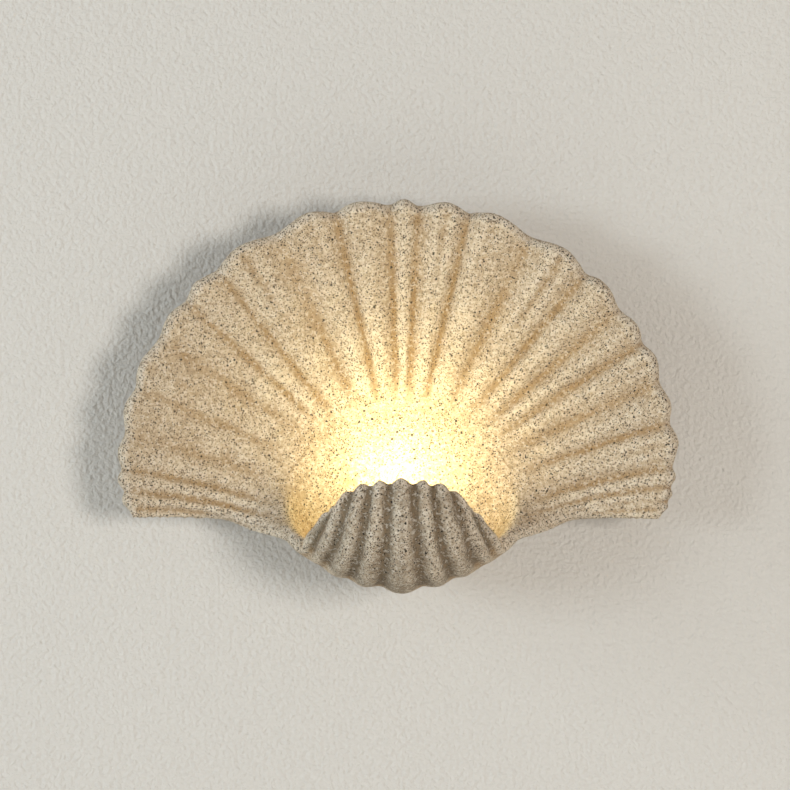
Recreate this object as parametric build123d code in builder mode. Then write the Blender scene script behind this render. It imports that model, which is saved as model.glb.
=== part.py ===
"""Shell wall sconce: a cast fan with a bowl and a ribbed lip that hides an upright capsule bulb.

All sizes are in millimetres. X runs to the viewer's right, Z up, and the front faces -Y. The origin
is the middle of the wall bracket's two fixing slots, on the wall. Depth means the distance in front
of the wall, so y = -depth.
"""
from build123d import *
from math import copysign, cos, exp, pi, radians, sin, sqrt
import os

os.makedirs("parts", exist_ok=True)

# ---------------------------------------------------------------- driving sizes
# Fan: a shallow dish inside a rim that is nearly a circle, its ribs numbered from left to right
rim_radius = 158.0
rim_x, rim_z = 0.5, -24.1
rim_depth = 50.0
rim_sweep = 91.6              # degrees from the top of the rim to the corner of each wing
left_wing_pull = 11.8         # how much nearer than the rim circle each wing's corner lies
right_wing_pull = 16.2
wing_corner_share, wing_corner_depth = 0.08, 3.0          # rounding of each wing's lower corner
crease_depth = 28.0           # of the dish where it meets the top of the bowl's mouth
casting_wall = 8.0

# Bowl mouth: an ellipse that ends in a notch on each side of the lip
mouth_x, mouth_z = 1.2, -23.3
mouth_half_width = 62.4
mouth_half_height = 44.0
mouth_sweep = 112.0           # degrees from the top of the mouth to each notch
notch_x, notch_z, notch_depth = 48.8, -44.4, 67.0
shoulder_x, shoulder_z, shoulder_depth = 58.5, -38.0, 57.0

# Lip and bowl
lip_half_width = 33.6
lip_top_z = -13.2
lip_end_drop = 9.3            # how much lower the lip's ends lie than its middle
lip_depth = 107.0             # of the lip's inner face
bowl_floor_z = -64.0
bowl_mid_depth = 58.0         # of the widest place of the bowl, seen from above
bowl_half_width = 54.0

# Fan ribs from left to right, made by hand and so all different: the valley at the right of each
# in degrees round the rim, its height share, the lean of its crest, and the groove along the crest
fan_ribs = [(-88.0, 0.35, 1.0, 0.0), (-83.5, 0.45, 1.1, 0.0), (-76.5, 0.4, 0.9, 0.0),
            (-67.0, 0.45, 1.15, 0.2), (-56.5, 0.45, 0.9, 0.2), (-47.0, 0.5, 1.2, 0.0),
            (-38.5, 0.6, 0.85, 0.0), (-25.0, 0.95, 0.85, 0.3),
            (-12.5, 1.0, 1.2, 0.2), (-2.0, 0.95, 0.85, 0.0), (3.5, 0.6, 1.0, 0.0),
            (13.5, 1.05, 1.2, 0.25), (26.5, 1.15, 0.8, 0.15), (39.5, 1.1, 1.15, 0.35),
            (49.0, 1.0, 0.85, 0.0), (57.0, 0.9, 1.15, 0.0), (65.5, 0.95, 0.85, 0.2),
            (74.0, 0.9, 1.15, 0.0), (83.0, 0.85, 0.85, 0.2), (87.0, 0.45, 1.0, 0.0),
            (90.0, 0.3, 1.0, 0.0), (rim_sweep, 0.2, 1.0, 0.0)]
fan_rib_height = 6.6
# Lip ribs in the same way, with their valleys in shares of the lip's half width
lip_ribs = [(-0.87, 0.65, 1.0, 0.0), (-0.68, 0.75, 1.0, 0.0), (-0.42, 0.85, 1.1, 0.0),
            (-0.165, 0.9, 0.9, 0.0), (0.165, 1.15, 1.0, 0.1), (0.42, 0.9, 1.1, 0.0),
            (0.68, 0.9, 0.9, 0.0), (0.87, 0.75, 1.0, 0.0), (1, 0.65, 1.0, 0.0)]
lip_rib_height = 4.6
valley_level = 0.6            # share of the ribs' height by which their valleys lie below the dish
valley_softness = 0.2         # 0 gives knife-sharp valleys between the ribs
groove_width = 0.12           # share of a rib's width
rim_lobe = 5.0                # how far a rib's end stands out of the rim
lip_lobe = 3.0
line_count, line_crowding = 320, 0.5      # lines over the casting, from one free edge to the other
point_count, point_crowding = 42, 0.83    # points of each line
surface_step = 0.001          # of u and v, over which the smooth face's direction is taken
edge_round = 3.2              # width of the rounding along every free edge
edge_fall = 2.2               # how far the faces fall towards each other in it

# Wall bracket and the studs that carry the casting
bracket_length, bracket_height, bracket_thickness = 72.0, 22.0, 1.5
bracket_corner = 4.0
slot_spacing, slot_length, slot_width = 60.0, 8.0, 4.5
cable_hole_radius = 6.5
earth_tab_width, earth_tab_reach, earth_tab_corner = 12.0, 21.0, 3.0
earth_screw_z = -16.0
stud_spacing = 34.0
stud_neck_radius = 2.0
stud_flange_radius, stud_flange_thickness = 4.0, 2.7     # leaves room for wall screw heads
stud_head_radius, stud_head_thickness = 4.0, 1.6
lift_travel = 9.0             # from hanging to free of the studs

# Ring behind the casting, its gasket and the hanging strip inside it
ring_half_width, ring_half_height, ring_wall = 46.0, 44.0, 6.0
ring_corner = 30.0
ring_z = -2.0
gasket_thickness = 1.5
boss_root_depth = 26.0        # how deep the ring and the bosses run into the casting
strip_length, strip_thickness = 76.0, 1.2
strip_top_z, strip_bottom_z = 12.0, -17.0
strip_corner = 3.0
entry_margin = 0.5            # round the stud heads in the keyholes' entries
boss_spacing, boss_radius, boss_z = 64.0, 6.0, -11.0
insert_radius, insert_length = 2.8, 8.0
strip_screw_radius, strip_screw_length = 1.75, 9.0
strip_screw_head_radius, strip_screw_head = 3.3, 1.4
grommet_radius, grommet_neck_radius, grommet_bore_radius = 7.5, 6.1, 3.5
grommet_lip = 1.0

# Terminal block on its pad inside the ring
terminal_width, terminal_height, terminal_thickness = 26.0, 14.0, 11.5
terminal_z = 24.0
terminal_corner = 1.5
terminal_pitch = 8.0
connector_side, connector_inset = 4.4, 1.5
clamp_screw_radius, clamp_screw_spacing, clamp_screw_inset = 1.6, 6.4, 0.8
driver_slot_width, driver_slot_depth = 0.6, 0.6
pad_depth = 19.0
pad_margin = 1.5
block_screw_radius, block_screw_head_radius, block_screw_head = 1.2, 2.2, 1.2
block_screw_grip = 5.0        # how far the screws reach into the pad

# Hollow threaded tube through the back of the bowl, with a low boss inside the bowl
tube_z = -30.0
tube_radius, tube_bore_radius = 5.0, 3.8
tube_end_margin = 1.2
tube_pad_radius = 11.0
tube_pad_depth = 18.5
tube_boss_rise = 2.6          # of its face in front of the dish's deepest place
nut_across_flats, nut_thickness = 14.0, 3.0
washer_radius, washer_thickness = 8.0, 1.0

# Lamp arm, holder and bulb
arm_thickness, arm_width, arm_bend_radius, arm_corner = 1.5, 18.0, 2.5, 3.0
arm_top_margin = 9.5
arm_bend_z = -38.5
arm_bend_gap = 4.9            # from its lower bend to the lampholder
arm_floor_gap = 7.7           # from the bowl's floor to the underside of the arm
arm_end_margin = 11.0
bulb_depth = 62.0
holder_width, holder_length, holder_height, holder_corner = 21.0, 15.5, 13.5, 3.0
holder_base_thickness = 1.6
holder_recess = 4.0
contact_width, contact_thickness, contact_play = 2.6, 0.4, 0.1
contact_slot_margin = 0.5
holder_screw_offset = 5.6
holder_screw_radius, holder_screw_head_radius, holder_screw_head = 1.2, 2.2, 1.2
holder_screw_grip = 4.0
bulb_plug_width, bulb_plug_length, bulb_plug_corner = 12.4, 7.6, 1.5
bulb_collar_height = 3.0
pin_spacing, pin_length, pin_loop_width, pin_wire_radius = 9.0, 7.2, 2.2, 0.35
bulb_radius, bulb_wall = 7.0, 0.8
bulb_height = 22.5
board_width, board_thickness, board_height = 8.0, 1.0, 14.0
chip_size, chip_thickness, chip_rows, chip_pitch = 2.4, 0.6, 4, 3.2

# Wires and earthing
wire_radius = 1.0
wire_bend = 5.0
wire_in_tube_x = 1.7
wire_run_depth = 8.5          # behind the tube's rear end
wire_pass_depth, wire_pass_z = 10.0, -4.0
wire_exit_drop = 4.0          # straight part below the terminal block
wire_drop_gap = 6.0           # from the tube's front end to where the wires turn down
wire_holder_step = 2.0        # how far they come forward on the way down
wire_holder_z = -47.0
tag_width, tag_thickness = 7.0, 0.6
tag_x, tag_screw_z, tag_bottom_z, tag_top_z = 8.0, 9.0, 6.8, 12.2
tongue_width, tongue_reach = 4.0, 3.2
small_screw_radius, small_head_radius, small_head = 1.5, 2.6, 1.5
tag_screw_length = 3.0
earth_washer_radius, earth_washer_thickness = 3.6, 0.5

# Clearances
fit_clearance = 0.1
running_clearance = 0.3


# ---------------------------------------------------------------- the casting's surface
def mix(a, b, share):
    return a + (b - a) * share


def ease(share):
    share = min(1, max(0, share))
    return share * share * (3 - 2 * share)


def rib_at(place, first_valley, ribs, groove_share):
    """Height share at a place: 0 in the valleys, and the rib's own height on its crest."""
    start = first_valley
    for end, height, lean, groove in ribs:
        if place <= end:
            break
        start = end
    share = min(1, max(0, (place - start) / (end - start))) ** lean
    soft = valley_softness
    arch = (sqrt(sin(pi * share) ** 2 + soft * soft) - soft) / (sqrt(1 + soft * soft) - soft)
    dip = groove * groove_share * exp(-((share - 0.5) / groove_width) ** 2) * arch
    return height * (arch - dip)


def plan_depth(x, front):
    """Depth of the bowl's front wall, an ellipse seen from above."""
    return bowl_mid_depth + (front - bowl_mid_depth) * sqrt(max(0, 1 - (x / bowl_half_width) ** 2))


lip_stations = 4              # from the lip's edge to the bowl's floor
bowl_stations = 4             # from the floor up the back to the mouth's crease
fan_shares = [0.12, 0.3, 0.5, 0.75, 1.0]
crease_station = lip_stations + bowl_stations
last_station = crease_station + len(fan_shares)


def stations(u):
    """Points (x, z, depth) of one line over the smooth inner face.

    u runs from -1 at the left free edge to 1 at the right one. The line starts on the lip's edge,
    goes down inside the lip, over the floor and up the back of the bowl, and out along a rib.
    """
    s = abs(u)
    side = copysign(1, u)
    wide = 0.5 * s + 0.5 * sin(pi / 2 * s)
    low = s * s * (1.5 - 0.5 * s * s)
    near = s ** 6                 # close to the free edge
    turn = radians(70 * s + (mouth_sweep - 70) * s ** 5)
    crease_x = mix(mouth_half_width * sin(turn), shoulder_x, s ** 12)
    crease_z = mix(mouth_z + mouth_half_height * cos(turn), shoulder_z, s ** 12)
    rise = (shoulder_depth - crease_depth) * s ** 8
    floor_x = notch_x * wide
    line = [
        (lip_half_width * s, lip_top_z - lip_end_drop * s * s,
         plan_depth(lip_half_width * s, lip_depth)),
        ((lip_half_width + 1.4) * mix(s, wide, 0.5), mix(lip_top_z - 16.8, notch_z + 14.9, low),
         mix(plan_depth(lip_half_width * s, lip_depth + 4), notch_depth + 19, near)),
        ((lip_half_width + 4.6) * mix(s, wide, 0.8), mix(bowl_floor_z + 15, notch_z + 7.9, low),
         mix(plan_depth(lip_half_width * wide, lip_depth + 1), notch_depth + 12, near)),
        ((lip_half_width + 10.0) * wide, mix(bowl_floor_z + 3, notch_z + 2.4, low),
         mix(plan_depth(lip_half_width * wide, lip_depth - 15), notch_depth + 5, near)),
        (floor_x, mix(bowl_floor_z, notch_z, low), mix(bowl_mid_depth + 7, notch_depth, near)),
        (mix(mix(floor_x, crease_x, 0.20), mix(notch_x, shoulder_x, 0.33), near),
         mix(mix(bowl_floor_z + 3.5, notch_z - 1.6, low), mix(notch_z, shoulder_z, 0.25), near),
         mix(crease_depth + 12, mix(notch_depth, shoulder_depth, 0.3), near)),
        (mix(mix(floor_x, crease_x, 0.45), mix(notch_x, shoulder_x, 0.58), near),
         mix(mix(bowl_floor_z + 20, notch_z + 3.9, low), mix(notch_z, shoulder_z, 0.53), near),
         mix(crease_depth + 1.5, mix(notch_depth, shoulder_depth, 0.55), near)),
        (mix(mix(floor_x, crease_x, 0.75), mix(notch_x, shoulder_x, 0.79), near),
         mix(mix(mouth_z + 9.3, notch_z + 8.9, low), mix(notch_z, shoulder_z, 0.78), near),
         mix(crease_depth - 1, mix(notch_depth, shoulder_depth, 0.8), near)),
        (crease_x, crease_z, crease_depth + rise),
    ]
    around = radians(rim_sweep * s)
    pull = right_wing_pull if u > 0 else left_wing_pull
    corner = max(0, (s - 1) / wing_corner_share + 1)
    reach = rim_radius - pull * s ** 3 - wing_corner_depth * (1 - sqrt(1 - corner ** 2))
    edge_x, edge_z = reach * sin(around), rim_z + reach * cos(around)
    for share in fan_shares:
        level = mix(crease_z, edge_z, 1 - (1 - share) ** 2)
        line.append((mix(crease_x, edge_x, share),
                     mix(mix(crease_z, edge_z, share), level, s ** 10),
                     mix(crease_depth, rim_depth, share ** 1.35) + rise * (1 - share) ** 4))
    centred = []
    for index, (x, z, depth) in enumerate(line):
        outward = max(0, index - crease_station) / len(fan_shares)
        centred.append((side * x + mix(mouth_x, rim_x, outward), z, depth))
    return centred


def along(line, v):
    """Point of the smooth curve that the stations shape, v counted in stations."""
    index = min(last_station - 1, int(v))
    t = v - index
    start, end = line[index], line[index + 1]
    before = line[index - 1] if index > 0 else [2 * a - b for a, b in zip(start, end)]
    after = line[index + 2] if index + 2 <= last_station else [2 * b - a for a, b in zip(start, end)]
    weights = (1 - t) ** 3, 3 * t ** 3 - 6 * t * t + 4, 3 * t * (1 + t - t * t) + 1, t ** 3
    return [sum(w * k for w, k in zip(weights, four)) / 6 for four in zip(before, start, end, after)]


def fan_rib(u, fan_share):
    return rib_at(rim_sweep * u, -rim_sweep, fan_ribs, ease((fan_share - 0.4) / 0.5)) - valley_level


def rim_scallop(u):
    """As fan_rib at the rim, but more alike from rib to rib."""
    ends = [(end, mix(1, height, 0.5), lean, 0) for end, height, lean, groove in fan_ribs]
    return rib_at(rim_sweep * u, -rim_sweep, ends, 0) - valley_level


def lip_rib(u):
    return rib_at(u, -1, lip_ribs, 1) - valley_level


def rib_height(u, v):
    """How far the ribs lift both faces, inwards in the fan and outwards in the lip."""
    fan_share = (v - crease_station) / len(fan_shares)
    height = 0
    if fan_share > 0:
        fade = ease((fan_share - 0.04) / 0.4) * mix(0.4, 1, fan_share)
        height += fan_rib(u, fan_share) * fan_rib_height * fade
    lip_share = v / lip_stations
    if lip_share < 1.25:
        fade = ease((1.25 - lip_share) / 0.5) * mix(0.75, 1, min(1, 2 * lip_share))
        height -= lip_rib(u) * lip_rib_height * fade
    return height


def edge_trim(distance):
    """How far a face has fallen towards the other one, near a free edge."""
    return edge_fall * (1 - sin(pi / 2 * min(1, distance / edge_round)))


def unit(vector):
    length = sqrt(sum(k * k for k in vector)) or 1
    return [k / length for k in vector]


def face_direction(u, v):
    """Unit vector square to the smooth inner face, out of the casting's wall."""
    step = surface_step
    right, left = along(stations(min(1, u + step)), v), along(stations(max(-1, u - step)), v)
    line = stations(u)
    ahead, behind = along(line, min(last_station, v + step)), along(line, max(0, v - step))
    across = [a - b for a, b in zip(right, left)]
    onward = [a - b for a, b in zip(ahead, behind)]
    square = unit([across[1] * onward[2] - across[2] * onward[1],
                   across[2] * onward[0] - across[0] * onward[2],
                   across[0] * onward[1] - across[1] * onward[0]])
    # round the notches the cut edge faces forwards
    forward = ease((abs(u) - 0.9) / 0.1) * ease((v - 2.2) / 1.5) * ease((11.2 - v) / 2.5)
    return unit([square[0], square[1], square[2] * (1 - forward)])


def wall_points(u, rows):
    """Front and back points of one line over the casting."""
    line = stations(u)
    directions = [face_direction(u, v) for v in rows]
    front, back = [], []
    for index, v in enumerate(rows):
        around = directions[max(0, index - 1):index + 2]
        out = unit([sum(each[k] for each in around) for k in range(3)])
        side_gap = (1 - abs(u)) * mix(60, 170, min(1, v / lip_stations))
        end_gap = min(17 * v, 30 * (last_station - v))
        trim = edge_trim(min(side_gap, end_gap))
        height = rib_height(u, v)
        x, z, depth = along(line, v)
        fan_share = (v - crease_station) / len(fan_shares)
        lobe = rim_scallop(u) * rim_lobe * ease((fan_share - 0.6) / 0.4)
        x += lobe * sin(radians(rim_sweep * u))
        z += lobe * cos(radians(rim_sweep * u))
        if v < 1:
            z += lip_rib(u) * lip_lobe * (1 - v) ** 1.5
        for points, offset in ((front, height - trim), (back, height - casting_wall + trim)):
            points.append(Vector(x + out[0] * offset, -depth - out[2] * offset, z + out[1] * offset))
    return front, back


def spaced(count, crowding):
    """Places from 0 to 1 that lie closer together towards both ends."""
    return [i / count - crowding * sin(2 * pi * i / count) / (2 * pi) for i in range(count + 1)]


lines = [2 * place - 1 for place in spaced(line_count, line_crowding)]
shares = spaced(point_count, point_crowding)
walls = [wall_points(u, [last_station * share for share in shares]) for u in lines]
inner_face, outer_face = (
    Shell.make_loft([Wire([Edge.make_spline(wall[k], parameters=shares)]) for wall in walls]).face()
    for k in (0, 1))
edge_strips = []
for edge in inner_face.edges():
    partner = outer_face.edges().sort_by_distance(edge @ 0.5)[0]
    edge_strips.append(Face.make_surface_from_curves(edge, partner))
casting = Solid(Shell(Face.sew_faces([inner_face, outer_face, *edge_strips])[0]))


def facing(depth):
    """Sketch plane parallel to the wall: x to the right, y up, extruding away from the wall."""
    return Plane(origin=(0, -depth, 0), x_dir=(1, 0, 0), z_dir=(0, -1, 0))


def level(z):
    """Sketch plane parallel to the floor, with y counted away from the wall as depth."""
    return Plane(origin=(0, 0, z), x_dir=(-1, 0, 0), z_dir=(0, 0, 1))


def write(built, name):
    built.part.label = name
    export_step(built.part, f"parts/{name}.step")


side_view = Plane(origin=(0, 0, 0), x_dir=(0, -1, 0), z_dir=(-1, 0, 0))   # x counts depth, y is Z


# ---------------------------------------------------------------- places of the stacked pieces
strip_back_depth = bracket_thickness + stud_flange_thickness + running_clearance
strip_front_depth = strip_back_depth + strip_thickness
stud_head_depth = strip_front_depth + running_clearance
boss_places = [(-boss_spacing / 2, boss_z), (boss_spacing / 2, boss_z)]
stud_places = [(-stud_spacing / 2, 0), (stud_spacing / 2, 0)]
slot_places = [(-slot_spacing / 2, 0), (slot_spacing / 2, 0)]
pole_places = [(x, terminal_z) for x in (-terminal_pitch, 0, terminal_pitch)]
clamp_places = [(x, z + dz) for x, z in pole_places for dz in (-clamp_screw_spacing / 2,
                                                               clamp_screw_spacing / 2)]
block_screw_places = [(-terminal_pitch / 2, terminal_z), (terminal_pitch / 2, terminal_z)]
terminal_back_depth = pad_depth - terminal_thickness
pole_depth = pad_depth - terminal_thickness / 2
terminal_bottom_z = terminal_z - terminal_height / 2
wire_end_z = terminal_z + terminal_height / 2 - connector_inset - clamp_screw_radius
rear_washer_depth = tube_pad_depth - washer_thickness
rear_nut_depth = rear_washer_depth - nut_thickness
tube_back_depth = rear_nut_depth - tube_end_margin
tube_face_depth = crease_depth + tube_boss_rise
arm_back_depth = tube_face_depth + washer_thickness
front_nut_depth = arm_back_depth + arm_thickness
tube_front_depth = front_nut_depth + nut_thickness + tube_end_margin
wire_drop_depth = tube_front_depth + wire_drop_gap
arm_floor_z = bowl_floor_z + arm_floor_gap
arm_top_z = arm_floor_z + arm_thickness
holder_body_z = arm_top_z + holder_base_thickness
holder_top_z = arm_top_z + holder_height
recess_z = holder_top_z - holder_recess
bulb_plug_z = recess_z + running_clearance
bulb_collar_z = holder_top_z + running_clearance
bulb_cover_z = bulb_collar_z + bulb_collar_height
contact_reach = pin_wire_radius + contact_play + contact_thickness    # half a clip, side to side
contact_back_depth = bulb_depth - contact_width / 2
holder_screw_places = [(0, bulb_depth - holder_screw_offset), (0, bulb_depth + holder_screw_offset)]
pin_x = [-pin_spacing / 2, pin_spacing / 2]

# ---------------------------------------------------------------- shell body
with BuildPart() as shell_body:
    add(casting)
    with BuildSketch(facing(gasket_thickness)):
        with Locations((0, ring_z)):
            RectangleRounded(2 * ring_half_width, 2 * ring_half_height, ring_corner)
            RectangleRounded(2 * (ring_half_width - ring_wall), 2 * (ring_half_height - ring_wall),
                             ring_corner - ring_wall, mode=Mode.SUBTRACT)
    extrude(amount=boss_root_depth - gasket_thickness)
    with BuildSketch(facing(strip_front_depth)):
        with Locations(*boss_places):
            Circle(boss_radius)
    extrude(amount=boss_root_depth - strip_front_depth)
    with BuildSketch(facing(pad_depth)):
        with Locations((0, terminal_z)):
            RectangleRounded(terminal_width + 2 * pad_margin, terminal_height + 2 * pad_margin,
                             pad_margin)
    extrude(amount=boss_root_depth - pad_depth)
    with BuildSketch(facing(tube_pad_depth)):
        with Locations((0, tube_z)):
            Circle(tube_pad_radius)
    extrude(amount=boss_root_depth - tube_pad_depth)
    # low boss inside the bowl for the front washer, and the tube's hole
    with BuildSketch(facing(boss_root_depth)):
        with Locations((0, tube_z)):
            Circle(washer_radius + washer_thickness)
    extrude(amount=tube_face_depth - boss_root_depth)
    with BuildSketch(facing(tube_pad_depth)):
        with Locations((0, tube_z)):
            Circle(tube_radius + running_clearance)
    extrude(amount=tube_face_depth - tube_pad_depth, mode=Mode.SUBTRACT)
    # holes for the threaded inserts and for the terminal block's screws
    with BuildSketch(facing(strip_front_depth)):
        with Locations(*boss_places):
            Circle(insert_radius + fit_clearance / 2)
    extrude(amount=strip_screw_length, mode=Mode.SUBTRACT)
    with BuildSketch(facing(pad_depth)):
        with Locations(*block_screw_places):
            Circle(block_screw_radius + fit_clearance / 2)
    extrude(amount=block_screw_grip + fit_clearance, mode=Mode.SUBTRACT)
write(shell_body, "shell_body")

# ---------------------------------------------------------------- wall bracket
with BuildPart() as wall_bracket:
    with BuildSketch(facing(0)):
        RectangleRounded(bracket_length, bracket_height, bracket_corner)
        with Locations((0, -earth_tab_reach / 2)):
            Rectangle(earth_tab_width, earth_tab_reach)
        Circle(cable_hole_radius, mode=Mode.SUBTRACT)
        with Locations(*slot_places):
            SlotOverall(slot_length, slot_width, mode=Mode.SUBTRACT)
        with Locations(*stud_places):
            Circle(stud_neck_radius + fit_clearance / 2, mode=Mode.SUBTRACT)
        with Locations((0, earth_screw_z)):
            Circle(small_screw_radius + fit_clearance / 2, mode=Mode.SUBTRACT)
    extrude(amount=bracket_thickness)
    fillet(wall_bracket.edges().filter_by(Axis.Y).group_by(Axis.Z)[0], earth_tab_corner)
write(wall_bracket, "wall_bracket")

# The studs are riveted through the bracket; the strip hangs between their flanges and heads
with BuildPart() as hanging_studs:
    for depth, radius, length in (
            (0, stud_neck_radius, stud_head_depth),
            (bracket_thickness, stud_flange_radius, stud_flange_thickness),
            (stud_head_depth, stud_head_radius, stud_head_thickness)):
        with BuildSketch(facing(depth)):
            with Locations(*stud_places):
                Circle(radius)
        extrude(amount=length)
write(hanging_studs, "hanging_studs")

with BuildPart() as earth_washer:
    with BuildSketch(facing(bracket_thickness)):
        with Locations((0, earth_screw_z)):
            Circle(earth_washer_radius)
            Circle(small_screw_radius + fit_clearance / 2, mode=Mode.SUBTRACT)
    extrude(amount=earth_washer_thickness)
write(earth_washer, "earth_washer")

earth_head_depth = bracket_thickness + earth_washer_thickness
with BuildPart() as earth_screw:
    with BuildSketch(facing(0)):
        with Locations((0, earth_screw_z)):
            Circle(small_screw_radius)
    extrude(amount=earth_head_depth)
    with BuildSketch(facing(earth_head_depth)):
        with Locations((0, earth_screw_z)):
            Circle(small_head_radius)
    extrude(amount=small_head)
    with BuildSketch(facing(earth_head_depth + small_head - driver_slot_depth)):
        with Locations((0, earth_screw_z)):
            Rectangle(2 * small_head_radius, driver_slot_width)
            Rectangle(driver_slot_width, 2 * small_head_radius)
    extrude(amount=driver_slot_depth, mode=Mode.SUBTRACT)
write(earth_screw, "earth_screw")

# ---------------------------------------------------------------- hanging strip and its fixings
with BuildPart() as hanging_strip:
    with BuildSketch(facing(strip_back_depth)):
        with Locations((0, (strip_top_z + strip_bottom_z) / 2)):
            RectangleRounded(strip_length, strip_top_z - strip_bottom_z, strip_corner)
        Circle(grommet_neck_radius + fit_clearance, mode=Mode.SUBTRACT)
        with Locations(*stud_places):
            Circle(stud_neck_radius + running_clearance, mode=Mode.SUBTRACT)
        with Locations(*[(x, -lift_travel / 2) for x, z in stud_places]):
            Rectangle(2 * (stud_neck_radius + running_clearance), lift_travel, mode=Mode.SUBTRACT)
        with Locations(*[(x, -lift_travel) for x, z in stud_places]):
            Circle(stud_head_radius + entry_margin, mode=Mode.SUBTRACT)
        with Locations(*boss_places):
            Circle(strip_screw_radius + running_clearance, mode=Mode.SUBTRACT)
        with Locations((tag_x, tag_screw_z)):
            Circle(small_screw_radius + fit_clearance / 2, mode=Mode.SUBTRACT)
    extrude(amount=strip_thickness)
write(hanging_strip, "hanging_strip")

with BuildPart() as threaded_inserts:
    with BuildSketch(facing(strip_front_depth)):
        with Locations(*boss_places):
            Circle(insert_radius)
            Circle(strip_screw_radius + fit_clearance / 2, mode=Mode.SUBTRACT)
    extrude(amount=insert_length)
write(threaded_inserts, "threaded_inserts")

strip_screw_head_depth = strip_back_depth - strip_screw_head
with BuildPart() as strip_screws:
    with BuildSketch(facing(strip_back_depth)):
        with Locations(*boss_places):
            Circle(strip_screw_radius)
    extrude(amount=strip_screw_length)
    with BuildSketch(facing(strip_screw_head_depth)):
        with Locations(*boss_places):
            Circle(strip_screw_head_radius)
    extrude(amount=strip_screw_head)
    with BuildSketch(facing(strip_screw_head_depth)):
        with Locations(*boss_places):
            Rectangle(strip_screw_head_radius, driver_slot_width)
            Rectangle(driver_slot_width, strip_screw_head_radius)
    extrude(amount=driver_slot_depth, mode=Mode.SUBTRACT)
write(strip_screws, "strip_screws")

with BuildPart() as gasket:
    with BuildSketch(facing(0)):
        with Locations((0, ring_z)):
            RectangleRounded(2 * ring_half_width, 2 * ring_half_height, ring_corner)
            RectangleRounded(2 * (ring_half_width - ring_wall), 2 * (ring_half_height - ring_wall),
                             ring_corner - ring_wall, mode=Mode.SUBTRACT)
    extrude(amount=gasket_thickness)
write(gasket, "gasket")

with BuildPart() as cable_grommet:
    for depth, radius, length in ((strip_back_depth - grommet_lip, grommet_radius, grommet_lip),
                                  (strip_back_depth, grommet_neck_radius, strip_thickness),
                                  (strip_front_depth, grommet_radius, grommet_lip)):
        with BuildSketch(facing(depth)):
            Circle(radius)
            Circle(grommet_bore_radius, mode=Mode.SUBTRACT)
        extrude(amount=length)
write(cable_grommet, "cable_grommet")

# ---------------------------------------------------------------- terminal block
with BuildPart() as terminal_block:
    with BuildSketch(facing(terminal_back_depth)):
        with Locations((0, terminal_z)):
            RectangleRounded(terminal_width, terminal_height, terminal_corner)
        with Locations(*block_screw_places):
            Circle(block_screw_radius + fit_clearance, mode=Mode.SUBTRACT)
    extrude(amount=terminal_thickness)
    with BuildSketch(facing(terminal_back_depth)):
        with Locations(*block_screw_places):
            Circle(block_screw_head_radius + fit_clearance)
    extrude(amount=block_screw_head, mode=Mode.SUBTRACT)
    with BuildSketch(facing(terminal_back_depth)):
        with Locations(*clamp_places):
            Circle(clamp_screw_radius + fit_clearance)
    extrude(amount=pole_depth - terminal_back_depth, mode=Mode.SUBTRACT)
    with BuildSketch(level(terminal_bottom_z)):
        with Locations(*[(x, pole_depth) for x, z in pole_places]):
            Rectangle(connector_side + fit_clearance, connector_side + fit_clearance)
    extrude(amount=terminal_height, mode=Mode.SUBTRACT)
write(terminal_block, "terminal_block")

connector_back_depth = pole_depth - connector_side / 2
with BuildPart() as terminal_connectors:
    with BuildSketch(level(terminal_bottom_z + connector_inset)):
        with Locations(*[(x, pole_depth) for x, z in pole_places]):
            Rectangle(connector_side, connector_side)
            Circle(wire_radius + fit_clearance, mode=Mode.SUBTRACT)
    extrude(amount=terminal_height - 2 * connector_inset)
    with BuildSketch(facing(connector_back_depth)):
        with Locations(*clamp_places):
            Circle(clamp_screw_radius + fit_clearance / 2)
    extrude(amount=connector_side / 2, mode=Mode.SUBTRACT)
write(terminal_connectors, "terminal_connectors")

clamp_screw_depth = terminal_back_depth + clamp_screw_inset
with BuildPart() as terminal_screws:
    with BuildSketch(facing(clamp_screw_depth)):
        with Locations(*clamp_places):
            Circle(clamp_screw_radius)
    extrude(amount=pole_depth - wire_radius - clamp_screw_depth)
    with BuildSketch(facing(clamp_screw_depth)):
        with Locations(*clamp_places):
            Rectangle(2 * clamp_screw_radius, driver_slot_width)
    extrude(amount=driver_slot_depth, mode=Mode.SUBTRACT)
write(terminal_screws, "terminal_screws")

with BuildPart() as terminal_block_screws:
    with BuildSketch(facing(terminal_back_depth)):
        with Locations(*block_screw_places):
            Circle(block_screw_head_radius)
    extrude(amount=block_screw_head)
    with BuildSketch(facing(terminal_back_depth + block_screw_head)):
        with Locations(*block_screw_places):
            Circle(block_screw_radius)
    extrude(amount=terminal_thickness - block_screw_head + block_screw_grip)
    with BuildSketch(facing(terminal_back_depth)):
        with Locations(*block_screw_places):
            Rectangle(2 * block_screw_head_radius, driver_slot_width)
    extrude(amount=driver_slot_depth, mode=Mode.SUBTRACT)
write(terminal_block_screws, "terminal_block_screws")

# ---------------------------------------------------------------- threaded tube through the bowl
with BuildPart() as threaded_tube:
    with BuildSketch(facing(tube_back_depth)):
        with Locations((0, tube_z)):
            Circle(tube_radius)
            Circle(tube_bore_radius, mode=Mode.SUBTRACT)
    extrude(amount=tube_front_depth - tube_back_depth)
write(threaded_tube, "threaded_tube")

with BuildPart() as tube_washers:
    for depth in (rear_washer_depth, tube_face_depth):
        with BuildSketch(facing(depth)):
            with Locations((0, tube_z)):
                Circle(washer_radius)
                Circle(tube_radius + fit_clearance, mode=Mode.SUBTRACT)
        extrude(amount=washer_thickness)
write(tube_washers, "tube_washers")

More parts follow.
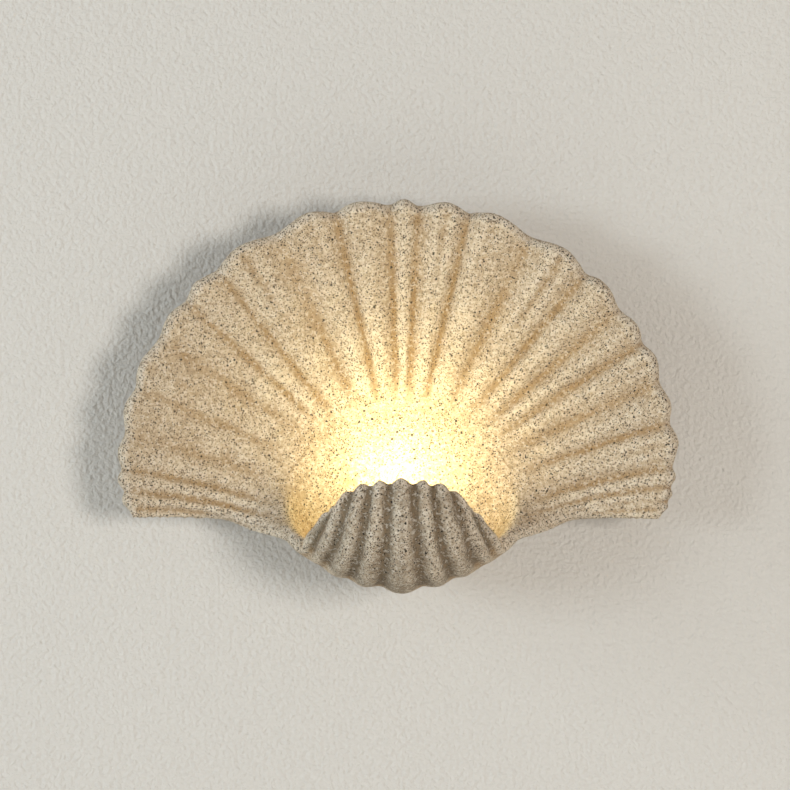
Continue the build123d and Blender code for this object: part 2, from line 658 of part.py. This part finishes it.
with BuildPart() as tube_nuts:
    for depth in (rear_nut_depth, front_nut_depth):
        with BuildSketch(facing(depth)):
            with Locations((0, tube_z)):
                RegularPolygon(nut_across_flats / 2, 6, major_radius=False)
                Circle(tube_radius + fit_clearance / 2, mode=Mode.SUBTRACT)
        extrude(amount=nut_thickness)
write(tube_nuts, "tube_nuts")

# ---------------------------------------------------------------- lamp arm and holder
arm_middle_depth = arm_back_depth + arm_thickness / 2
arm_middle_z = arm_floor_z + arm_thickness / 2
with BuildPart() as lamp_arm:
    with BuildSketch(side_view):
        with BuildLine():
            FilletPolyline((arm_middle_depth, tube_z + arm_top_margin),
                           (arm_middle_depth, arm_bend_z),
                           (bulb_depth - holder_length / 2 - arm_bend_gap, arm_middle_z),
                           (bulb_depth + arm_end_margin, arm_middle_z),
                           radius=arm_bend_radius)
        trace(line_width=arm_thickness)
    extrude(amount=arm_width / 2, both=True)
    fillet(lamp_arm.edges().filter_by(Axis.Y).group_by(Axis.Z)[-1], arm_corner)
    fillet(lamp_arm.edges().filter_by(Axis.Z).group_by(Axis.Y)[0], arm_corner)
    with BuildSketch(facing(arm_back_depth)):
        with Locations((0, tube_z)):
            Circle(tube_radius + fit_clearance)
    extrude(amount=arm_thickness, mode=Mode.SUBTRACT)
    with BuildSketch(level(arm_floor_z)):
        with Locations(*holder_screw_places):
            Circle(holder_screw_radius + fit_clearance)
    extrude(amount=arm_thickness, mode=Mode.SUBTRACT)
write(lamp_arm, "lamp_arm")

with BuildPart() as lampholder_base:
    with BuildSketch(level(arm_top_z)):
        with Locations((0, bulb_depth)):
            RectangleRounded(holder_width, holder_length, holder_corner)
        with Locations(*holder_screw_places):
            Circle(holder_screw_radius + fit_clearance, mode=Mode.SUBTRACT)
    extrude(amount=holder_base_thickness)
write(lampholder_base, "lampholder_base")

with BuildPart() as lampholder_body:
    with BuildSketch(level(holder_body_z)):
        with Locations((0, bulb_depth)):
            RectangleRounded(holder_width, holder_length, holder_corner)
    extrude(amount=holder_top_z - holder_body_z)
    with BuildSketch(level(recess_z)):
        with Locations((0, bulb_depth)):
            RectangleRounded(bulb_plug_width + 2 * running_clearance,
                             bulb_plug_length + 2 * running_clearance, bulb_plug_corner)
    extrude(amount=holder_recess, mode=Mode.SUBTRACT)
    with BuildSketch(level(holder_body_z)):
        with Locations(*[(x, bulb_depth) for x in pin_x]):
            Rectangle(2 * (contact_reach + contact_slot_margin),
                      contact_width + 2 * contact_slot_margin)
    extrude(amount=recess_z - holder_body_z, mode=Mode.SUBTRACT)
    with BuildSketch(level(holder_body_z)):
        with Locations(*holder_screw_places):
            Circle(holder_screw_radius + fit_clearance / 2)
    extrude(amount=holder_screw_grip + fit_clearance, mode=Mode.SUBTRACT)
    with BuildSketch(facing(bulb_depth - holder_length / 2)):
        with Locations(*[(x, wire_holder_z) for x in pin_x]):
            Circle(wire_radius + fit_clearance)
    extrude(amount=(holder_length - contact_width) / 2, mode=Mode.SUBTRACT)
write(lampholder_body, "lampholder_body")

# Each contact is a strip folded into a U that grips one loop of the bulb
contact_height = recess_z - contact_slot_margin - holder_body_z
with BuildPart() as lampholder_contacts:
    with BuildSketch(facing(bulb_depth)):
        with Locations(*[(x, holder_body_z + contact_height / 2) for x in pin_x]):
            Rectangle(2 * contact_reach, contact_height)
        with Locations(*[(x, holder_body_z + contact_thickness + contact_height / 2) for x in pin_x]):
            Rectangle(2 * (contact_reach - contact_thickness), contact_height, mode=Mode.SUBTRACT)
    extrude(amount=contact_width / 2, both=True)
write(lampholder_contacts, "lampholder_contacts")

with BuildPart() as lampholder_screws:
    with BuildSketch(level(arm_floor_z - holder_screw_head)):
        with Locations(*holder_screw_places):
            Circle(holder_screw_head_radius)
    extrude(amount=holder_screw_head)
    with BuildSketch(level(arm_floor_z)):
        with Locations(*holder_screw_places):
            Circle(holder_screw_radius)
    extrude(amount=holder_body_z + holder_screw_grip - arm_floor_z)
    with BuildSketch(level(arm_floor_z - holder_screw_head)):
        with Locations(*holder_screw_places):
            Rectangle(2 * holder_screw_head_radius, driver_slot_width)
    extrude(amount=driver_slot_depth, mode=Mode.SUBTRACT)
write(lampholder_screws, "lampholder_screws")


# ---------------------------------------------------------------- wires
def place(x, z, depth):
    return Vector(x, -depth, z)


def lamp_wire_places(pole, side):
    """Corners of a wire from its pole, down behind the bowl, through the tube, to the holder."""
    return [place(pole, wire_end_z, pole_depth),
            place(pole, terminal_bottom_z - wire_exit_drop, pole_depth),
            place(mix(pole, side * wire_in_tube_x, 0.3), wire_pass_z, wire_pass_depth),
            place(side * wire_in_tube_x, tube_z, wire_run_depth),
            place(side * wire_in_tube_x, tube_z, wire_drop_depth),
            place(side * pin_spacing / 2, wire_holder_z, wire_drop_depth + wire_holder_step),
            place(side * pin_spacing / 2, wire_holder_z, contact_back_depth)]


with BuildPart() as live_wire:
    with BuildLine():
        FilletPolyline(*lamp_wire_places(-terminal_pitch, -1), radius=wire_bend)
    with BuildSketch(level(wire_end_z)):
        with Locations((terminal_pitch, pole_depth)):
            Circle(wire_radius)
    sweep()
write(live_wire, "live_wire")

with BuildPart() as neutral_wire:
    with BuildLine():
        FilletPolyline(*lamp_wire_places(0, 1), radius=wire_bend)
    with BuildSketch(level(wire_end_z)):
        with Locations((0, pole_depth)):
            Circle(wire_radius)
    sweep()
write(neutral_wire, "neutral_wire")

# The earth lead's lower end lies soldered on the tag's tongue
with BuildPart() as earth_tag:
    with BuildSketch(facing(strip_front_depth)):
        with Locations((tag_x, (tag_bottom_z + tag_top_z) / 2)):
            Rectangle(tag_width, tag_top_z - tag_bottom_z)
        with Locations((tag_x, tag_screw_z)):
            Circle(small_screw_radius + fit_clearance, mode=Mode.SUBTRACT)
    extrude(amount=tag_thickness)
    with BuildSketch(facing(strip_front_depth)):
        with Locations((tag_x, tag_top_z - tag_thickness / 2)):
            Rectangle(tongue_width, tag_thickness)
    extrude(amount=tag_thickness + tongue_reach)
write(earth_tag, "earth_tag")

tag_head_depth = strip_front_depth + tag_thickness
with BuildPart() as earth_tag_screw:
    with BuildSketch(facing(strip_back_depth)):
        with Locations((tag_x, tag_screw_z)):
            Circle(small_screw_radius)
    extrude(amount=tag_head_depth - strip_back_depth)
    with BuildSketch(facing(tag_head_depth)):
        with Locations((tag_x, tag_screw_z)):
            Circle(small_head_radius)
    extrude(amount=small_head)
    with BuildSketch(facing(tag_head_depth + small_head - driver_slot_depth)):
        with Locations((tag_x, tag_screw_z)):
            Rectangle(2 * small_head_radius, driver_slot_width)
    extrude(amount=driver_slot_depth, mode=Mode.SUBTRACT)
write(earth_tag_screw, "earth_tag_screw")

with BuildPart() as earth_lead:
    with BuildLine():
        FilletPolyline(place(terminal_pitch, wire_end_z, pole_depth),
                       place(terminal_pitch, tag_top_z + wire_radius, pole_depth),
                       place(terminal_pitch, tag_top_z + wire_radius, strip_front_depth),
                       radius=wire_bend)
    with BuildSketch(level(wire_end_z)):
        with Locations((-terminal_pitch, pole_depth)):
            Circle(wire_radius)
    sweep()
write(earth_lead, "earth_lead")

# ---------------------------------------------------------------- bulb
with BuildPart() as bulb_base:
    with BuildSketch(level(bulb_plug_z)):
        with Locations((0, bulb_depth)):
            RectangleRounded(bulb_plug_width, bulb_plug_length, bulb_plug_corner)
    extrude(amount=bulb_collar_z - bulb_plug_z)
    with BuildSketch(level(bulb_collar_z)):
        with Locations((0, bulb_depth)):
            Circle(bulb_radius)
    extrude(amount=bulb_collar_height)
write(bulb_base, "bulb_base")

loop_radius = pin_loop_width / 2 - pin_wire_radius
pin_bottom_z = bulb_plug_z - pin_length
with BuildPart() as bulb_pins:
    for x in pin_x:
        with BuildLine():
            Polyline(place(x, bulb_plug_z, bulb_depth - loop_radius),
                     place(x, pin_bottom_z + loop_radius + pin_wire_radius, bulb_depth - loop_radius))
            ThreePointArc(place(x, pin_bottom_z + loop_radius + pin_wire_radius, bulb_depth - loop_radius),
                          place(x, pin_bottom_z + pin_wire_radius, bulb_depth),
                          place(x, pin_bottom_z + loop_radius + pin_wire_radius, bulb_depth + loop_radius))
            Polyline(place(x, pin_bottom_z + loop_radius + pin_wire_radius, bulb_depth + loop_radius),
                     place(x, bulb_plug_z, bulb_depth + loop_radius))
        with BuildSketch(level(bulb_plug_z)):
            with Locations((-x, bulb_depth - loop_radius)):
                Circle(pin_wire_radius)
        sweep()
write(bulb_pins, "bulb_pins")

chip_z = [bulb_cover_z + board_height / 2 + (row - (chip_rows - 1) / 2) * chip_pitch
          for row in range(chip_rows)]
with BuildPart() as bulb_board:
    with BuildSketch(level(bulb_cover_z)):
        with Locations((0, bulb_depth)):
            Rectangle(board_width, board_thickness)
    extrude(amount=board_height)
    with BuildSketch(facing(bulb_depth)):
        with Locations(*[(x, z) for x in (-chip_size * 0.75, chip_size * 0.75) for z in chip_z]):
            Rectangle(chip_size, chip_size)
    extrude(amount=board_thickness / 2 + chip_thickness, both=True)
write(bulb_board, "bulb_board")

with BuildPart() as bulb_cover:
    with BuildSketch(level(bulb_cover_z)):
        with Locations((0, bulb_depth)):
            Circle(bulb_radius)
    extrude(amount=bulb_height)
    fillet(bulb_cover.edges().group_by(Axis.Z)[-1], bulb_radius * 0.8)
    offset(amount=-bulb_wall, openings=bulb_cover.faces().sort_by(Axis.Z)[0])
write(bulb_cover, "bulb_cover")
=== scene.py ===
import math

import bpy
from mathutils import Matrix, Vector


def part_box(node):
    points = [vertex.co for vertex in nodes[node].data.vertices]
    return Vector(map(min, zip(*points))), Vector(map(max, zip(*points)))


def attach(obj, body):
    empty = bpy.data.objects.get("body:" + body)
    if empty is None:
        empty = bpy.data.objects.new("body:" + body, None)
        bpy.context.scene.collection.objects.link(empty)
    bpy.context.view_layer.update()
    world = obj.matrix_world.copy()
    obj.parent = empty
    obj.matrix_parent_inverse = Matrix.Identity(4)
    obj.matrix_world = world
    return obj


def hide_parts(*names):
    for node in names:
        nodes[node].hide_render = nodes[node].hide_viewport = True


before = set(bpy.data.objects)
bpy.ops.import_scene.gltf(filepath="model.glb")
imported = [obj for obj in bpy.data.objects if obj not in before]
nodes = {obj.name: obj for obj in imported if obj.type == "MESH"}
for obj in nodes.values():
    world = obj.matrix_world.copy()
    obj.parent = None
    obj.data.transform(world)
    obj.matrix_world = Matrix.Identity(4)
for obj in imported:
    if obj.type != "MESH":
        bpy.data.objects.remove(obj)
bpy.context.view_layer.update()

# ---------------------------------------------------------------- camera
# The photograph looks straight at the wall from some way off. One pixel is 0.535 mm of the lamp.
pixel = 0.000535
picture_width = 790
sensor_width = 36
camera_distance = 2.6
view_point = Vector((-4 * pixel, -0.03, 60 * pixel))
bpy.ops.object.camera_add(location=view_point - Vector((0, camera_distance, 0)),
                          rotation=(math.radians(90), 0, 0))
camera = bpy.context.object
camera.data.sensor_width = sensor_width
camera.data.lens = sensor_width * camera_distance / (picture_width * pixel)
bpy.context.scene.camera = camera
bpy.context.scene.view_settings.view_transform = "Standard"


# ---------------------------------------------------------------- room
# A painted wall behind the lamp and a pale floor well below it. Cool daylight comes from the left, as
# a wide window and a smaller lamp, and a warmer lamp stands on the right.
class Tone:
    """One shader socket, with which Python sums can be written."""

    def __init__(self, finish, socket):
        self.finish = finish
        self.socket = socket

    def sum(self, operation, other=0):
        """This value and another under one of Blender's Math operations."""
        return self.finish.node("Math", {"operation": operation}, {0: self, 1: other})

    def __add__(self, other):
        return self.sum("ADD", other)

    def __sub__(self, other):
        return self.sum("SUBTRACT", other)

    def __rsub__(self, other):
        return self.finish.node("Math", {"operation": "SUBTRACT"}, {0: other, 1: self})

    def __mul__(self, other):
        return self.sum("MULTIPLY", other)

    def __pow__(self, other):
        return self.sum("POWER", other)

    def __gt__(self, other):
        return self.sum("GREATER_THAN", other)

    def __lt__(self, other):
        return self.sum("LESS_THAN", other)

    def __abs__(self):
        return self.sum("ABSOLUTE")

    __radd__ = __add__

    def ramp(self, low, high):
        """0 up to low, 1 from high on, and smooth between them."""
        return self.finish.node("MapRange", {"interpolation_type": "SMOOTHSTEP"},
                                {"Value": self, "From Min": low, "From Max": high})


class Finish:
    """A material under construction. Its shader is set through paint()."""

    def __init__(self, name):
        self.material = bpy.data.materials.new(name)
        self.material.use_nodes = True
        self.tree = self.material.node_tree
        self.shader = self.tree.nodes["Principled BSDF"]
        self.place = self.node("TexCoord", {}, {}, "Object")

    def node(self, kind, settings, values, output=0):
        """A new shader node with its settings and inputs, as the Tone of one of its outputs."""
        made = self.tree.nodes.new("ShaderNode" + kind)
        for key, value in settings.items():
            setattr(made, key, value)
        for key, value in values.items():
            self.feed(made.inputs[key], value)
        return Tone(self, made.outputs[output])

    def feed(self, socket, value):
        if isinstance(value, Tone):
            self.tree.links.new(value.socket, socket)
        elif isinstance(value, tuple) and socket.type == "RGBA":
            socket.default_value = (*value, 1)
        else:
            socket.default_value = value

    def along(self, axis, vector=None):
        """One coordinate, X, Y or Z, of the place on the piece or of another vector."""
        return self.node("SeparateXYZ", {}, {"Vector": vector or self.place}, axis)

    def mix(self, share, first, second):
        """A colour between two colours."""
        return self.node("Mix", {"data_type": "RGBA"}, {0: share, 6: first, 7: second}, 2)

    def noise(self, size, detail=2.0, roughness=0.5, stretch=None):
        """Soft noise from 0 to 1 whose blobs are about size metres across."""
        place = self.place
        if stretch:
            place = self.node("Mapping", {}, {"Vector": place, "Scale": stretch})
        return self.node("TexNoise", {}, {"Vector": place, "Scale": 0.5 / size, "Detail": detail,
                                          "Roughness": roughness})

    def cells(self, size, output="Distance"):
        """Cells about size metres across: the Distance from each middle, or a random Color."""
        return self.node("TexVoronoi", {}, {"Vector": self.place, "Scale": 1 / size}, output)

    def bump(self, height, depth):
        """Normal of a surface that height, from 0 to 1, lifts by up to depth metres."""
        return self.node("Bump", {}, {"Height": height, "Distance": depth, "Strength": 1.0})

    def paint(self, **values):
        """Set or link inputs of the shader, such as Base_Color and Roughness."""
        for key, value in values.items():
            self.feed(self.shader.inputs[key.replace("_", " ")], value)


room_size = 6
floor_level = -1.2
wall_paint = Finish("wall_paint")
roller = wall_paint.noise(0.0013, 3.0, stretch=(1, 1, 0.4)) + wall_paint.noise(0.012, 2.0) * 0.5
wall_paint.paint(Base_Color=(0.75, 0.715, 0.66), Roughness=0.95,
                 Normal=wall_paint.bump(roller, 0.0016))
front_only = wall_paint.node("MixShader", {}, {
    0: wall_paint.node("NewGeometry", {}, {}, "Backfacing"),
    1: Tone(wall_paint, wall_paint.shader.outputs[0]),
    2: wall_paint.node("BsdfTransparent", {}, {})})
wall_paint.feed(wall_paint.tree.nodes["Material Output"].inputs["Surface"], front_only)
bpy.ops.mesh.primitive_plane_add(size=room_size, location=(0, 0, floor_level + room_size / 2),
                                 rotation=(math.radians(90), 0, 0))
wall = bpy.context.object
wall.name = "room_wall"
wall.data.materials.append(wall_paint.material)

floor_finish = Finish("floor_pale")
floor_finish.paint(Base_Color=(0.72, 0.71, 0.69), Roughness=0.8)
bpy.ops.mesh.primitive_plane_add(size=room_size, location=(0, -room_size / 2, floor_level))
floor = bpy.context.object
floor.name = "room_floor"
floor.data.materials.append(floor_finish.material)

for name, place, size, power, colour in (
        ("left_window", (-2.5, -0.9, 0.7), 1.4, 26, (0.80, 0.92, 1)),
        ("left_lamp", (-1.85, -1.8, 0.12), 0.6, 13, (0.80, 0.92, 1)),
        ("right_lamp", (1.2, -2.3, 0.05), 0.6, 28, (1, 0.97, 0.93))):
    aim = Vector(place).to_track_quat("Z", "Y").to_euler()
    bpy.ops.object.light_add(type="AREA", location=place, rotation=aim)
    lamp = bpy.context.object
    lamp.name = name
    lamp.data.energy = power
    lamp.data.size = size
    lamp.data.color = colour

world = bpy.data.worlds.new("surround")
world.use_nodes = True
backdrop = world.node_tree.nodes["Background"]
backdrop.inputs["Color"].default_value = (0.86, 0.80, 0.73, 1)
backdrop.inputs["Strength"].default_value = 0.31
bpy.context.scene.world = world

# ---------------------------------------------------------------- shell
# The shell is one casting of sand-coloured stone mix: fan, bowl and lip, modelled by hand, so no two
# ribs are alike and the surface is a little uneven. Dark grains and brown dust show all over it.
weld_gap = 1e-5
surface_grid = 0.0013
bpy.ops.object.select_all(action="DESELECT")
shell = bpy.data.objects.new("shell_casting", nodes["shell_body"].data.copy())
bpy.context.scene.collection.objects.link(shell)
shell.select_set(True)
bpy.context.view_layer.objects.active = shell
bpy.ops.object.mode_set(mode="EDIT")
bpy.ops.mesh.select_all(action="SELECT")
bpy.ops.mesh.remove_doubles(threshold=weld_gap)
bpy.ops.object.mode_set(mode="OBJECT")

remesh = shell.modifiers.new("even_grain", "REMESH")
remesh.mode = "VOXEL"
remesh.voxel_size = surface_grid
bpy.ops.object.modifier_apply(modifier=remesh.name)
soften = shell.modifiers.new("worn_edges", "SMOOTH")
soften.factor = 0.5
soften.iterations = 3
bpy.ops.object.modifier_apply(modifier=soften.name)
for name, size, height in (("hand_dents", 0.022, 0.0012), ("small_dents", 0.006, 0.0005)):
    dents = bpy.data.textures.new(name, "CLOUDS")
    dents.noise_scale = size
    uneven = shell.modifiers.new(name, "DISPLACE")
    uneven.texture = dents
    uneven.texture_coords = "LOCAL"
    uneven.strength = height
    uneven.mid_level = 0.5
    bpy.ops.object.modifier_apply(modifier=uneven.name)
bpy.ops.object.shade_smooth()

# Crests are pale and hollows tan. The tan of the hollows is painted shade, and on the fan also
# painted warm light from the bulb along the grooves.
# The lip's hollows are darker and greyer than the fan's, and its pale crests narrower: more painted
# shade.
lip_start, lip_blend = -0.070, 0.012
stone = Finish("cast_stone")
clouding = stone.noise(0.03, 3.0)
crests = stone.node("NewGeometry", {}, {}, "Pointiness") + (stone.noise(0.008, 3.0) - 0.5) * 0.03
on_lip = (lip_start - stone.along("Y")).ramp(0, lip_blend)
hollow_shade_and_glow = stone.mix(on_lip, (0.36, 0.23, 0.11), (0.18, 0.135, 0.085))
body = stone.mix((crests - on_lip * 0.015).ramp(0.468, 0.525), hollow_shade_and_glow, (0.69, 0.59, 0.455))
body = stone.mix(clouding.ramp(0.35, 0.7) * 0.3 * (1 - on_lip), body, (0.55, 0.41, 0.26))

# A thin brown line, broken in places, runs along both sides of the mouth where the casting turns in:
# painted shade in that crease.
mouth_middle, mouth_level = 0.0012, -0.0233
mouth_half_width, mouth_half_height = 1 / 16.0, 1 / 22.7
mouth_right = (stone.along("X") - mouth_middle) * (1 / mouth_half_width)
mouth_up = (stone.along("Z") - mouth_level) * (1 / mouth_half_height)
ring = (mouth_right * mouth_right + mouth_up * mouth_up) ** 0.5
off_crease = abs(ring - 1 + (stone.noise(0.006) - 0.5) * 0.1)
crease_shade = (1 - off_crease.ramp(0.006, 0.018)) * stone.noise(0.004).ramp(0.4, 0.6)
crease_shade = crease_shade * (mouth_up > -0.1) * (abs(mouth_right) > 0.6)
body = stone.mix(crease_shade * 0.6, body, (0.25, 0.15, 0.07))

# Brown and white dust at the scale of fine sand, then brown, dark and a few large black grains,
# which crowd a little on the crests.
flour = stone.noise(0.001, 3.0, 0.75)
body = stone.mix(flour.ramp(0.5, 0.62) * 0.55, body, (0.32, 0.22, 0.13))
body = stone.mix((1 - flour).ramp(0.52, 0.64) * 0.5, body, (0.80, 0.73, 0.62))
crowd = 0.75 + crests.ramp(0.47, 0.54) * 0.25
brown_grain = stone.cells(0.0009) < stone.cells(0.0009, "Color") * 0.64 * crowd
body = stone.mix(brown_grain * 0.75, body, (0.13, 0.085, 0.05))
dark_grain = stone.cells(0.00145) < (0.1 + stone.cells(0.00145, "Color") * 0.31) * crowd
body = stone.mix(dark_grain * 0.93, body, (0.03, 0.022, 0.017))
black_grain = stone.cells(0.0035) < stone.cells(0.0035, "Color") * 0.2
body = stone.mix(black_grain * 0.95, body, (0.016, 0.013, 0.011))
pits = stone.noise(0.0009, 3.0, 0.65) * 0.6 + stone.noise(0.004, 2.0) * 0.4
stone.paint(Base_Color=body, Roughness=0.86 + flour * 0.1, Normal=stone.bump(pits, 0.0004),
            Specular_IOR_Level=0.3)
shell.data.materials.clear()
shell.data.materials.append(stone.material)
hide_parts("shell_body")
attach(shell, "shell")

# ---------------------------------------------------------------- bracket, strip and arm
# Punched from zinc-plated sheet steel. The plating is dull, with a faint crystal pattern.
def dress(finish, *names):
    """Give a finish to pieces that keep the shape of the CAD."""
    for name in names:
        nodes[name].material_slots[0].material = finish.material


zinc = Finish("zinc_steel")
spangle = zinc.cells(0.0045, "Color")
smear = zinc.noise(0.003, 4.0)
zinc_tone = zinc.mix(0.10, zinc.mix(smear, (0.50, 0.51, 0.52), (0.68, 0.69, 0.70)), spangle)
zinc.paint(Base_Color=zinc_tone, Metallic=1.0, Roughness=0.34 + smear * 0.22,
           Normal=zinc.bump(zinc.noise(0.0008, 3.0), 0.00004))
dress(zinc, "wall_bracket", "hanging_strip", "lamp_arm")

# ---------------------------------------------------------------- studs, screws and contacts
# Turned from bright steel, so the light runs in fine rings and the edges are a little worn.
bright = Finish("bright_steel")
scratch = bright.noise(0.0006, 3.0, stretch=(1, 1, 6))
bright.paint(Base_Color=bright.mix(scratch, (0.62, 0.62, 0.63), (0.82, 0.82, 0.82)), Metallic=1.0,
             Roughness=0.20 + scratch * 0.2, Normal=bright.bump(scratch, 0.00002))
dress(bright, "hanging_studs", "strip_screws", "terminal_block_screws", "lampholder_screws",
      "terminal_screws", "lampholder_contacts", "bulb_pins")

# ---------------------------------------------------------------- brass pieces
# Plain turned and stamped brass that has dulled in places.
brass = Finish("brass")
tarnish = brass.noise(0.003, 4.0)
brass.paint(Base_Color=brass.mix(tarnish.ramp(0.4, 0.7), (0.83, 0.62, 0.28), (0.52, 0.36, 0.15)),
            Metallic=1.0, Roughness=0.24 + tarnish * 0.25,
            Normal=brass.bump(brass.noise(0.0007, 2.0), 0.00002))
dress(brass, "earth_washer", "earth_screw", "threaded_inserts", "terminal_connectors", "tube_nuts",
      "tube_washers", "earth_tag", "earth_tag_screw")

# The tube carries a fine thread over its whole length. Its grooves are coloured darker than its
# crests: painted shade.
thread_pitch = 0.001
threaded = Finish("threaded_brass")
ridges = (threaded.along("Y") * (2 * math.pi / thread_pitch)).sum("SINE").ramp(-1, 1)
threaded.paint(Base_Color=threaded.mix(ridges, (0.40, 0.27, 0.11), (0.83, 0.62, 0.28)),
               Metallic=1.0, Roughness=0.3, Normal=threaded.bump(ridges, 0.0003))
dress(threaded, "threaded_tube")

# ---------------------------------------------------------------- gasket and grommet
# The gasket is cut from closed-cell foam; the grommet is moulded in black rubber.
foam = Finish("foam")
pores = foam.cells(0.0009)
# Each pore is coloured darker towards its middle: painted shade in the pores.
foam.paint(Base_Color=foam.mix(pores.ramp(0.1, 0.5), (0.030, 0.030, 0.030), (0.085, 0.085, 0.083)),
           Roughness=0.95, Normal=foam.bump(pores, 0.0003))
dress(foam, "gasket")

rubber = Finish("rubber")
bloom = rubber.noise(0.002, 4.0)
rubber.paint(Base_Color=rubber.mix(bloom, (0.022, 0.022, 0.022), (0.06, 0.06, 0.058)),
             Roughness=0.6 + bloom * 0.2, Normal=rubber.bump(rubber.noise(0.0005), 0.00003))
dress(rubber, "cable_grommet")

# ---------------------------------------------------------------- terminal block
# Moulded in off-white heat-proof plastic with a fine matt texture from its mould.
plastic = Finish("terminal_plastic")
mould = plastic.noise(0.0004, 2.0)
flow = plastic.noise(0.008, 3.0)
plastic.paint(Base_Color=plastic.mix(flow, (0.70, 0.68, 0.61), (0.78, 0.76, 0.70)),
              Roughness=0.42 + mould * 0.15, Normal=plastic.bump(mould, 0.00004))
dress(plastic, "terminal_block")

# ---------------------------------------------------------------- lampholder and bulb base
# Pressed and fired unglazed ceramic, chalky white, with tiny pits and a few grey grains.
ceramic = Finish("ceramic")
chalk = ceramic.noise(0.0012, 4.0)
fleck = ceramic.cells(0.0022) < 0.10
fired = ceramic.mix(chalk, (0.72, 0.69, 0.63), (0.82, 0.80, 0.75))
ceramic.paint(Base_Color=ceramic.mix(fleck * 0.5, fired, (0.35, 0.32, 0.28)),
              Roughness=0.72 + chalk * 0.15, Normal=ceramic.bump(chalk, 0.00008))
dress(ceramic, "lampholder_base", "lampholder_body", "bulb_base")

# ---------------------------------------------------------------- wires
# Single cores in soft heat-proof sleeves: brown, blue, and green with a yellow stripe for earth.
for name, node_name, deep, light in (
        ("brown_sleeve", "live_wire", (0.085, 0.035, 0.015), (0.15, 0.065, 0.03)),
        ("blue_sleeve", "neutral_wire", (0.02, 0.07, 0.28), (0.04, 0.12, 0.42))):
    sleeve = Finish(name)
    scuff = sleeve.noise(0.002, 4.0)
    sleeve.paint(Base_Color=sleeve.mix(scuff, deep, light), Roughness=0.38 + scuff * 0.2,
                 Normal=sleeve.bump(scuff, 0.00005))
    dress(sleeve, node_name)

stripe_from, stripe_to = -0.0004, 0.0005
earth_sleeve = Finish("green_yellow_sleeve")
lead_centre = (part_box("earth_lead")[0].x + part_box("earth_lead")[1].x) / 2
side = earth_sleeve.along("X") - lead_centre
stripe = (side > stripe_from) * (side < stripe_to)
earth_scuff = earth_sleeve.noise(0.002, 4.0)
earth_sleeve.paint(Base_Color=earth_sleeve.mix(stripe, (0.05, 0.27, 0.06), (0.75, 0.60, 0.05)),
                   Roughness=0.4 + earth_scuff * 0.2, Normal=earth_sleeve.bump(earth_scuff, 0.00005))
dress(earth_sleeve, "earth_lead")

# ---------------------------------------------------------------- bulb
# A slim capsule: a white board with rows of yellow light chips inside a frosted cover that glows,
# most at its top and a little towards the wall, so the light washes up over the fan.
board_half_thickness = 0.00055
glow_strength = 360.0
board = Finish("light_board")
board_middle = (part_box("bulb_board")[0].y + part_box("bulb_board")[1].y) / 2
proud = abs(board.along("Y") - board_middle) > board_half_thickness
board.paint(Base_Color=board.mix(proud, (0.80, 0.79, 0.74), (0.85, 0.62, 0.08)),
            Roughness=0.35 + board.noise(0.001) * 0.2)
dress(board, "bulb_board")

frosted = Finish("bulb_frosted")
frosting = frosted.noise(0.0006, 2.0)
facing = frosted.node("NewGeometry", {}, {}, "Normal")
to_wall = frosted.along("Y", facing).ramp(0.6, 1.0)
upwards = frosted.along("Z", facing).ramp(0.2, 0.85)
lit = frosted.mix(to_wall * 0.25 + upwards, (0.006, 0.0055, 0.004), (1.0, 0.87, 0.45))
frosted.paint(Base_Color=frosted.mix(frosting, (0.86, 0.80, 0.70), (0.95, 0.91, 0.82)),
              Roughness=0.5 + frosting * 0.2, Emission_Color=lit,
              Emission_Strength=glow_strength, Normal=frosted.bump(frosting, 0.00003))
dress(frosted, "bulb_cover")
